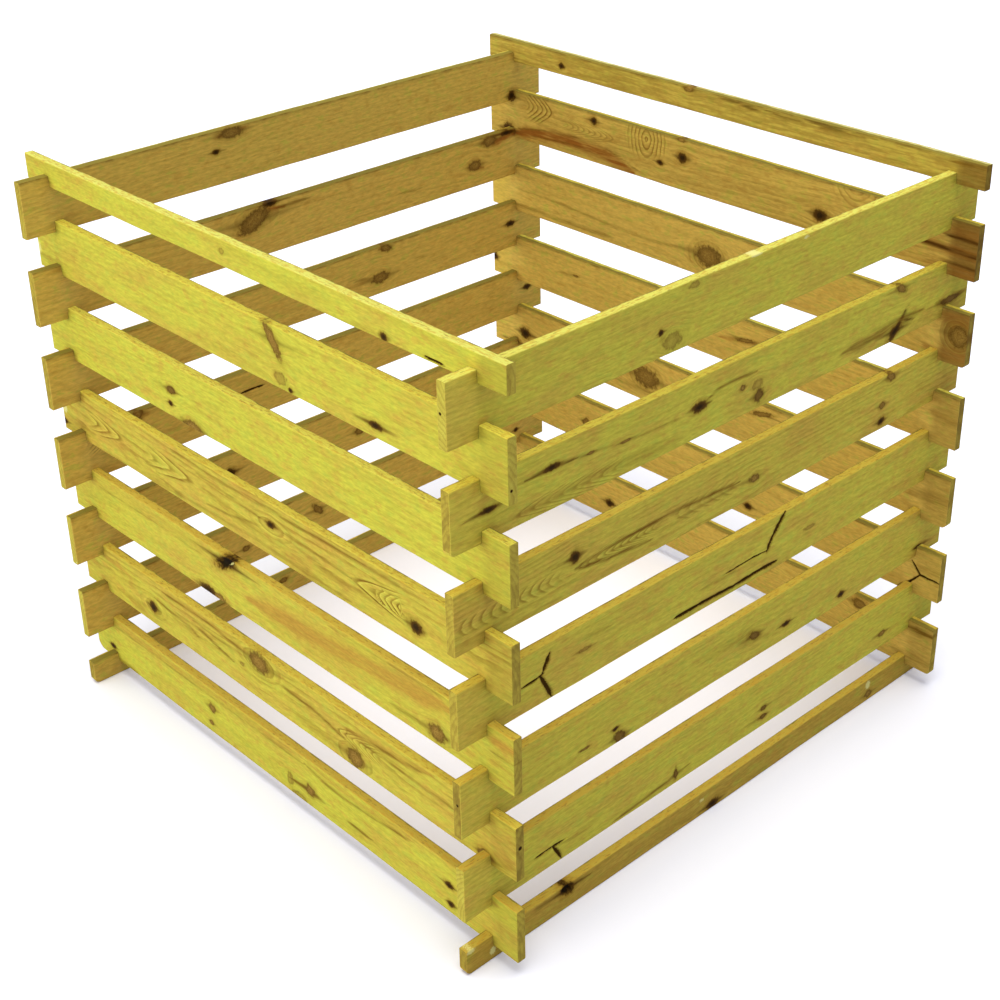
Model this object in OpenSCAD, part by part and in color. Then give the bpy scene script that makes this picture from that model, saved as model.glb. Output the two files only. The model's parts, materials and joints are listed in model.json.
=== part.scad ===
// Slatted garden composter: loose notched boards stacked log-cabin fashion.
// Front and back boards lie along X, right and left boards along Y. The two
// sets are half a course apart, and each notch drops over the board below it,
// so the stack holds square with no fastener and lifts apart board by board.
// The origin is on the ground in the middle of the square, with +Z up.

/* [Boards] */
// Length of every board
board_length = 1000; // [700:10:1400]
// Height of a full board
board_height = 84; // [60:1:120]
// Thickness of every board
board_thickness = 14; // [10:0.5:25]
// Height of the narrow board that tops the front and the back
top_board_height = 37; // [28:1:60]
// Height of the narrow board at the foot of the right and left sides
foot_board_height = 40; // [28:1:60]
// Radius of the eased long edges
edge_radius = 1.5; // [0.5:0.1:3]

/* [Corner notches] */
// From the end of a board to the outer face of the board that crosses it
end_overhang = 46; // [36:1:120]
// Depth of one notch
notch_depth = 8.5; // [5:0.5:12]
// Side gap between a notch's wall and the board that it holds
notch_clearance = 0.5; // [0.2:0.1:2]

/* [Stack] */
// Full boards on each side
courses = 6; // [2:1:8]

/* [Worn corners] */
// Radius of a corner that is lightly knocked round
worn_small = 6; // [3:0.5:8]
// Radius of a corner that is clearly rounded
worn_middle = 9; // [5:1:14]
// Radius of a corner that is well rounded off
worn_large = 15; // [8:1:20]

/* [Hidden] */
$fn = 48;
// How far a cutter runs past the face that it opens
overcut = 1;

mid_plane = board_length / 2 - end_overhang - board_thickness / 2;
notch_width = board_thickness + 2 * notch_clearance;
board_step = board_height - 2 * notch_depth;
course_pitch = 2 * board_step;
first_long_z = foot_board_height - 2 * notch_depth;
first_cross_z = first_long_z + board_step;
top_board_z = first_long_z + courses * course_pitch;

long_sides = ["front", "back"];
cross_sides = ["right", "left"];

// Lower corners that handling and weather have rounded off: board, end along
// its length and radius.
worn_corners = [
    [board_name("front", 1), "low_end", worn_large],
    [board_name("back", 1), "high_end", worn_small],
    [board_name("back", 3), "high_end", worn_middle],
    [board_name("back", 5), "high_end", worn_small],
    [foot_name("right"), "low_end", worn_middle],
    [board_name("right", 5), "low_end", worn_small],
    [foot_name("left"), "low_end", worn_middle]
];

lit_tone = [0.83, 0.78, 0.33];
shaded_tone = [0.63, 0.58, 0.24];
top_tone = [0.88, 0.84, 0.42];

function board_name(side, k) = str(side, "_board_", k);
function foot_name(side) = str(side, "_foot_board");
function top_name(side) = str(side, "_top_board");

// Mirrors the children across an axis only where it is asked to.
module mirror_if(wanted, axis) {
    if (wanted)
        mirror(axis) children();
    else
        children();
}

// Cross-section of a board: thickness along X, height along Y, eased arrises.
module board_section(height) {
    half = board_thickness / 2;
    translate([-half + edge_radius, 0])
        square([board_thickness - 2 * edge_radius, height]);
    translate([-half, edge_radius])
        square([board_thickness, height - 2 * edge_radius]);
    for (x = [edge_radius - half, half - edge_radius], y = [edge_radius, height - edge_radius])
        translate([x, y])
            circle(edge_radius);
}

// Cutter for a notch at each end of an edge: the floors are at z = 0, open upwards.
module notch_pair() {
    for (x = [-mid_plane, mid_plane])
        translate([x - notch_width / 2, -board_thickness / 2 - overcut, 0])
            cube([notch_width, board_thickness + 2 * overcut, notch_depth + overcut]);
}

// Cutter that rounds the lower corner at a board's high end, set at the origin.
module corner_rounder(radius) {
    depth = board_thickness + 2 * overcut;
    difference() {
        translate([-radius, -depth / 2, -overcut])
            cube([radius + overcut, depth, radius + overcut]);
        translate([-radius, 0, radius])
            rotate([90, 0, 0])
                cylinder(h = depth + 2 * overcut, r = radius, center = true);
    }
}

// Rounds off the worn corners of the board called name.
module worn_corner_cuts(name) {
    for (corner = worn_corners)
        if (corner[0] == name)
            mirror_if(corner[1] == "low_end", [1, 0, 0])
                translate([board_length / 2, 0, 0])
                    corner_rounder(corner[2]);
}

// One board lying along X, its thickness centred on Y and its lower edge at z = 0.
module notched_board(name, height, notched_below, notched_above) {
    difference() {
        rotate([90, 0, 90])
            linear_extrude(height = board_length, center = true)
                board_section(height);
        if (notched_below)
            translate([0, 0, notch_depth])
                mirror([0, 0, 1])
                    notch_pair();
        if (notched_above)
            translate([0, 0, height - notch_depth])
                notch_pair();
        worn_corner_cuts(name);
    }
}

// Moves a board that lies along X to its side of the square.
module on_side(side) {
    outward = side == "front" || side == "left" ? -mid_plane : mid_plane;
    if (side == "front" || side == "back")
        translate([0, outward, 0]) children();
    else
        translate([outward, 0, 0]) rotate([0, 0, 90]) children();
}

// Narrow board on the ground that lifts the front and back boards off it.
module foot_board(side) {
    color(shaded_tone)
        on_side(side)
            notched_board(foot_name(side), foot_board_height, false, true);
}

// Full board of the front or the back, k courses up.
module long_board(side, k) {
    color(lit_tone)
        translate([0, 0, first_long_z + (k - 1) * course_pitch])
            on_side(side)
                notched_board(board_name(side, k), board_height, true, true);
}

// Full board of the right or the left side, k courses up.
module cross_board(side, k) {
    color(shaded_tone)
        translate([0, 0, first_cross_z + (k - 1) * course_pitch])
            on_side(side)
                notched_board(board_name(side, k), board_height, true, true);
}

// Narrow board that closes the front or the back at the top.
module top_board(side) {
    color(top_tone)
        translate([0, 0, top_board_z])
            on_side(side)
                notched_board(top_name(side), top_board_height, true, false);
}

for (side = cross_sides)
    foot_board(side);
for (side = long_sides, k = [1 : courses])
    long_board(side, k);
for (side = cross_sides, k = [1 : courses])
    cross_board(side, k);
for (side = long_sides)
    top_board(side);
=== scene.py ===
"""Looks of a slatted garden composter: notched softwood boards stacked log-cabin fashion.

Every board keeps the place and size that the frame gives it. What is added is the wood itself:
eased and slightly uneven edges, worn corners, knots, splits, and grain that bends round the knots.
Lengths on a board are in millimetres: along it from its middle, and up from its lower edge.
"""

import json
import math

import bpy
import numpy as np
from mathutils import Matrix, Vector

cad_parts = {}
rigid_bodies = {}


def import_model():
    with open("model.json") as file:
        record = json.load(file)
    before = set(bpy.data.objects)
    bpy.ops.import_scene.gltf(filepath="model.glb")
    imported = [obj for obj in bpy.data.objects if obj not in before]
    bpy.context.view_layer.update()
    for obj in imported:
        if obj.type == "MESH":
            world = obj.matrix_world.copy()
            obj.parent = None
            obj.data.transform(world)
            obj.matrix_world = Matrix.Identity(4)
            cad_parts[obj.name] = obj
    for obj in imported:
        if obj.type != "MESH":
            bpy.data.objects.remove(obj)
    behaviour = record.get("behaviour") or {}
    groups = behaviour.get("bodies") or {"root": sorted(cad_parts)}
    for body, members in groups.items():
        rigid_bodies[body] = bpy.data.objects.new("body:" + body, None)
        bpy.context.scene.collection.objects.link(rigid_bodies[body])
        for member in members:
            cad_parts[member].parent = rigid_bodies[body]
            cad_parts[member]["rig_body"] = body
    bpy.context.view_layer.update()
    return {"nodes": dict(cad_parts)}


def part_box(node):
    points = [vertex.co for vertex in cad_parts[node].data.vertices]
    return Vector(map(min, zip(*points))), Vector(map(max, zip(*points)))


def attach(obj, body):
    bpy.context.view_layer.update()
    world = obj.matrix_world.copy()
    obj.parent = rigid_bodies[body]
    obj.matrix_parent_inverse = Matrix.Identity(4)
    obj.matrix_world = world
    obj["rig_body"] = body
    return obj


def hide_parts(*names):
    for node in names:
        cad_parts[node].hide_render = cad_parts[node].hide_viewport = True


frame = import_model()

MM = 0.001
# Side gap between a notch's wall and the board that it holds
NOTCH_PLAY = 0.5

# Camera, fitted to the board corners in the photograph
CAMERA_AIM = (0.0303, 0.0185, 0.4143)
CAMERA_DISTANCE = 2.623
CAMERA_AZIMUTH = 46.73
CAMERA_ELEVATION = 27.94
CAMERA_ROLL = -0.79
CAMERA_LENS = 62.73
CAMERA_SENSOR = 36
CAMERA_SHIFT = (-0.0279, -0.0533)

# Light, as the share of a colour's own value that each source gives a face turned to it
FRONT_LIGHT = 0.65
FRONT_LIGHT_PLACE = (-6, 2)
FRONT_LIGHT_SPREAD = 25
OVERHEAD_LIGHT = 0.86
OVERHEAD_LIGHT_PLACE = (30, 84)
OVERHEAD_LIGHT_SPREAD = 50
SKY_LIGHT = (0.43, 0.45, 0.62, 1.0)
WHITE = (1.0, 1.0, 1.0, 1.0)
# Floor, in metres: half its side, and its height just under the foot boards. The camera sees it
# almost white, while other rays meet a greyer floor that throws back less light
FLOOR_HALF = 20.0
FLOOR_HEIGHT = -0.0004
FLOOR_SEEN = (0.98, 0.98, 0.98, 1.0)
FLOOR_BOUNCE = (0.48, 0.49, 0.58, 1.0)
# Dry sawn wood hardly shines
DRY_WOOD_GLOSS = 0.03

# Tones of each board: ochre of the faces, brown of the inner face, which is painted shade, top edge from
# brown (-1) over orange (0) and yellow (0.5) to pale (1) and bleached (2), the pale and bleached tones
# being painted highlight, stub from light (-1) to brown (1) at the low and the high end, end grain from
# pale (-1) to dark (1) at the low and the high end
TONES = {
    "front_top_board": (0.05, 0.7, 1, 0, 0.3, -0.3, 0),
    "front_board_6": (0.15, 0.8, 0.5, 0, 0.24, -0.2, -0.3),
    "front_board_5": (0, 0.8, 0.6, 0, 0.22, 0, 0),
    "front_board_4": (0.55, 0.8, 0.3, 0, 0.32, 0.2, 0.2),
    "front_board_3": (0.25, 0.8, 0, 0, 0.15, 0, 0.1),
    "front_board_2": (0.4, 0.8, 0.15, 0, 0.22, 0.1, 0.4),
    "front_board_1": (0.12, 0.8, -0.2, 0, 0.25, 0, 0.1),
    "right_board_6": (0.28, 0.8, 0.88, -0.45, 0.2, -0.5, 0.2),
    "right_board_5": (0.26, 0.8, 0.3, -0.3, 0.3, 0.15, 0.2),
    "right_board_4": (0.55, 0.8, 0.05, -0.2, 0.2, 0, 0.2),
    "right_board_3": (0.38, 0.8, 0.05, -0.3, 0.1, 0, 0.2),
    "right_board_2": (0.42, 0.8, -0.05, -0.3, 0.15, 0.4, 0.2),
    "right_board_1": (0.28, 0.8, -0.25, -0.35, 0.2, -0.5, 0.2),
    "right_foot_board": (1, 0.9, -0.2, 0, 0.1, 0.3, 0.3),
    "back_top_board": (0.15, 0.6, 1.8, 0, 0.7, 0, 0.8),
    "back_board_6": (0.4, 1, 0.3, 0, 0.8, 0, 0.8),
    "back_board_5": (0.2, 1, 0.3, -0.6, 0.68, 0, 0.6),
    "back_board_4": (0.3, 1, 0.7, -0.4, 0.34, 0, 0.5),
    "back_board_3": (0.4, 1, 0.3, 0, 0.3, 0, 0.3),
    "back_board_2": (0.5, 1, 0.2, 0, 0.15, 0, 0.4),
    "back_board_1": (0.5, 1, 0.1, 0, 0.3, 0, 0.3),
    "left_board_6": (0.2, 0.9, 0.8, 0, 0, 0, 0.1),
    "left_board_5": (0.3, 1, -0.1, 0, 0, 0.1, 0.1),
    "left_board_4": (0.5, 1, 0, 0, 0, 0.1, 0.1),
    "left_board_3": (0.4, 1, 0, 0, 0, -0.2, 0.1),
    "left_board_2": (0.4, 1, 0, 0, 0, -0.5, 0.1),
    "left_board_1": (0.4, 1, -0.2, 0, 0, -0.5, 0.1),
    "left_foot_board": (0.6, 1, 0, 0, 0, 0.2, 0.2),
}
# How much of a top edge has its own tone, from the outer arris inwards. The rest is dull olive painted
# shade
EDGE_TONE_SHARE = {"front": 0.88, "right": 0.88, "back": 0.5, "left": 0.2}

# Knots of each board: along, up, half length, half height, tilt in degrees, kind
KNOTS = {
    "front_top_board": [(-19, 21, 6, 4, 0, "pale"), (297, 5, 6, 5, 0, "dark")],
    "front_board_6": [
        (74, 64, 26, 8, -55, "brown"), (85, 15, 12, 9, 0, "pale"), (105, 5, 4, 3, 0, "dark"),
        (272, 17, 12, 5, 0, "dark"),
    ],
    "front_board_5": [
        (-178, 42, 10, 6, 10, "dusky"), (-183, 20, 5, 4, 0, "dark"), (-133, 1, 20, 9, 0, "brown"),
    ],
    "front_board_4": [(34, 51, 9, 5, 15, "dark"), (329, 29, 11, 9, 0, "dark"), (-498, 14, 7, 5, 0, "dark")],
    "front_board_3": [
        (-87, 73, 27, 9, 27, "hole"), (-140, 4, 20, 8, 0, "dark"), (-112, 2, 14, 8, 0, "brown"),
        (360, 19, 15, 12, 0, "brown"),
    ],
    "front_board_2": [
        (-305, 32, 10, 9, 0, "dark"), (-29, 66, 21, 15, 0, "brown"), (185, 17, 16, 15, 0, "brown"),
        (-73, 42, 6, 3, 0, "pale"), (443, 9, 12, 8, 0, "brown"),
    ],
    "front_board_1": [
        (-452, 23, 7, 5, 0, "dark"), (-169, 48, 8, 8, 0, "brown"), (-175, 18, 6, 4, 0, "brown"),
        (70, 29, 10, 9, 0, "brown"), (23, 24, 7, 11, 0, "pale"), (371, 47, 8, 5, 0, "dark"),
        (373, 16, 6, 5, 0, "dark"), (43, 4, 18, 5, 0, "pale"),
    ],
    "right_board_6": [
        (-161, 33, 4, 4, 0, "dark"), (-140, 16, 17, 10, 0, "pale"), (-103, 77, 10, 4, 0, "pale"),
    ],
    "right_board_5": [
        (-443, 40, 12, 4, 0, "dark"), (-343, 56, 12, 4.5, 0, "dark"), (-280, 51, 6, 2, 0, "brown"),
        (-220, 45, 9, 2, 0, "brown"), (-87, 43, 12, 7, 0, "dark"), (-3, 40, 5, 4, 0, "brown"),
        (27, 35, 10, 7, 0, "pale"), (30, 18, 8, 9, 0, "dusky"), (325, 15, 16, 7, 35, "dark"),
        (333, 77, 12, 6, -30, "brown"), (456, 24, 20, 5, 0, "dusky"),
    ],
    "right_board_4": [
        (-305, 53, 8, 8, 0, "dark"), (30, 30, 9, 6, 0, "brown"), (311, 38, 7, 5, 0, "brown"),
        (311, 13, 7, 6, 0, "dark"), (327, 78, 10, 6, -30, "brown"),
    ],
    "right_board_3": [(-287, 45, 12, 3, 0, "pale"), (160, 35, 12, 3, 0, "pale")],
    "right_board_2": [
        (-287, 23, 9, 2, 0, "brown"), (-230, 25, 5, 3, 0, "dark"), (-222, 8, 12, 8, -45, "dusky"),
        (50, 39, 12, 6, -25, "dusky"), (120, 26, 9, 4, 0, "dark"), (249, 17, 7, 5, 0, "dark"),
        (445, 16, 12, 3, 0, "dark"),
    ],
    "right_board_1": [
        (-107, 16, 4, 8, 0, "dusky"), (81, 32, 6, 4, 0, "dusky"), (80, 17, 7, 4, 0, "dusky"),
        (367, 26, 8, 5, 0, "brown"),
    ],
    "right_foot_board": [
        (-320, 32, 12, 10, -20, "hole"), (-25, 8, 12, 7, 0, "dark"), (345, 12, 8, 6, 0, "brown"),
    ],
    "back_top_board": [(-323, 15, 6, 5, 0, "dark"), (-40, 34, 10, 5, 0, "brown")],
    "back_board_6": [
        (-447, 72, 9, 8, 0, "dark"), (-247, 71, 7, 6, 0, "dark"), (-457, 12, 13, 10, 30, "dark"),
        (-49, 54, 9, 8, 0, "dark"), (-97, 35, 6, 4, 0, "dark"), (227, 29, 12, 9, 0, "dark"),
        (-53, 82, 8, 3, 0, "brown"),
    ],
    "back_board_5": [(13, 37, 25, 17, 0, "brown"), (487, 46, 16, 16, 0, "brown")],
    "back_board_4": [
        (-497, 31, 7, 6, 0, "dark"), (98, 50, 20, 3, 10, "brown"), (-289, 50, 6, 2, 0, "brown"),
    ],
    "back_board_3": [
        (-420, 33, 12, 10, 0, "dark"), (-117, 45, 26, 17, 0, "brown"), (-450, 8, 12, 7, 30, "dark"),
        (140, 66, 22, 4, 15, "brown"),
    ],
    "back_board_2": [(-260, 40, 10, 8, 0, "brown"), (120, 20, 7, 6, 0, "dark")],
    "back_board_1": [
        (360, 69, 14, 9, 0, "brown"), (-200, 30, 9, 7, 0, "dark"), (150, 50, 12, 9, 0, "brown"),
    ],
    "left_board_6": [
        (-145, 75, 19, 8, 0, "brown"), (-175, 52, 6, 4, 0, "dark"), (433, 9, 7, 9, 0, "dark"),
    ],
    "left_board_5": [
        (-118, 62, 30, 14, 25, "brown"), (-86, 82, 12, 5, 0, "dark"), (345, 38, 14, 8, 0, "brown"),
        (380, 74, 14, 9, 0, "brown"), (420, 80, 15, 4, 0, "dark"),
    ],
    "left_board_4": [
        (140, 78, 11, 6, -20, "brown"), (125, 29, 17, 9, 0, "brown"), (425, 45, 9, 5, 0, "dark"),
    ],
    "left_board_3": [(464, 46, 8, 5, 0, "dark"), (-363, 78, 9, 8, 0, "brown")],
    "left_board_2": [
        (60, 30, 9, 7, 0, "brown"), (-210, 50, 11, 8, 0, "dark"), (460, 79, 10, 4, 0, "dark"),
    ],
    "left_board_1": [
        (-193, 33, 8, 5, 0, "brown"), (-40, 47, 14, 6, -50, "brown"), (430, 30, 5, 4, 0, "dark"),
    ],
    "left_foot_board": [(-125, 30, 8, 5, 0, "brown")],
}
# How dark a kind of knot is, and how far it stands out of the face or sinks into it, in millimetres
KNOT_KINDS = {
    "pale": (0.30, 0.2), "brown": (0.60, 0.35), "dusky": (0.76, 0.3), "dark": (0.92, 0.3),
    "hole": (1.0, -5.0),
}
# Dark tails of a knot along the grain: reach in its half lengths, and the range of shares of it that
# the tails have, breadth in its half heights, and how dark a knot has to be to have tails
TAIL_REACH = 3.1
TAIL_REACH_SHARES = (0.75, 1.15)
TAIL_BREADTH = 0.66
TAIL_FROM_TONE = 0.5
# On the face that the photograph hides a knot comes out smaller, by this share, and shifted along the
# board by up to this many millimetres
HIDDEN_KNOT_SIZE = 0.8
HIDDEN_KNOT_SHIFT = 7
# How quickly the relief of a knot falls off, and how wide the wall of a hole is, in its radii
RELIEF_FALL = 1.4
HOLE_WALL = 0.45
# How the grain bends round a knot: how much longer than high the bend is, and its reach in radii
BEND_STRETCH = 2.0
BEND_REACH = 6
# Distances, in their own half sizes, that stand for no knot or chip near, and for no split near
FAR_OFF = 6.0
FAR_FROM_SPLIT = 20.0

# Splits in the face that the photograph shows: points along and up the board, half width
SPLITS = {
    # On the front top board this is a dark line along its lower edge, drawn as a split
    "front_top_board": [([(364, 4), (385, 4), (403, 3)], 1.6)],
    "right_board_3": [
        ([(-397, 39), (-375, 40), (-358, 43)], 1.9),
        ([(-362, 42), (-354, 56), (-348, 68)], 3.3),
        ([(-364, 41), (-356, 25), (-345, 2)], 3.7),
        ([(103, 84), (88, 67), (75, 51), (67, 35)], 3.8),
        ([(-20, 36), (35, 38), (68, 36)], 1.3),
        ([(-121, 11), (-60, 11), (0, 9), (50, 11), (90, 10)], 2.9),
    ],
    "right_board_1": [
        ([(-380, 30), (-350, 31), (-325, 30)], 1.8),
        ([(-345, 29), (-336, 14), (-330, 2)], 2.7),
    ],
    "back_board_2": [
        ([(448, 57), (465, 37), (500, 36)], 2.0),
        ([(465, 37), (448, 18), (427, 1)], 2.0),
    ],
    "left_board_3": [([(-175, 48), (-150, 49), (-125, 48)], 1.8)],
}
SPLIT_DEPTH = 3.0
# How much the width of a split changes along it, and over what length
SPLIT_WANDER = 0.28
SPLIT_WAVE = 26
# Width of splits and streaks at their ends, as a share of their width elsewhere, and over what length
# they get there: for a streak so many millimetres and so many of its half widths
SPLIT_END_WIDTH = 0.45
SPLIT_TAPER = 11.0
STREAK_END_WIDTH = 0.3
STREAK_TAPER = 8
STREAK_TAPER_WIDTHS = 4
# Above 1 the colour of a streak stays whole over some of its width
STREAK_CREST = 1.4

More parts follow.
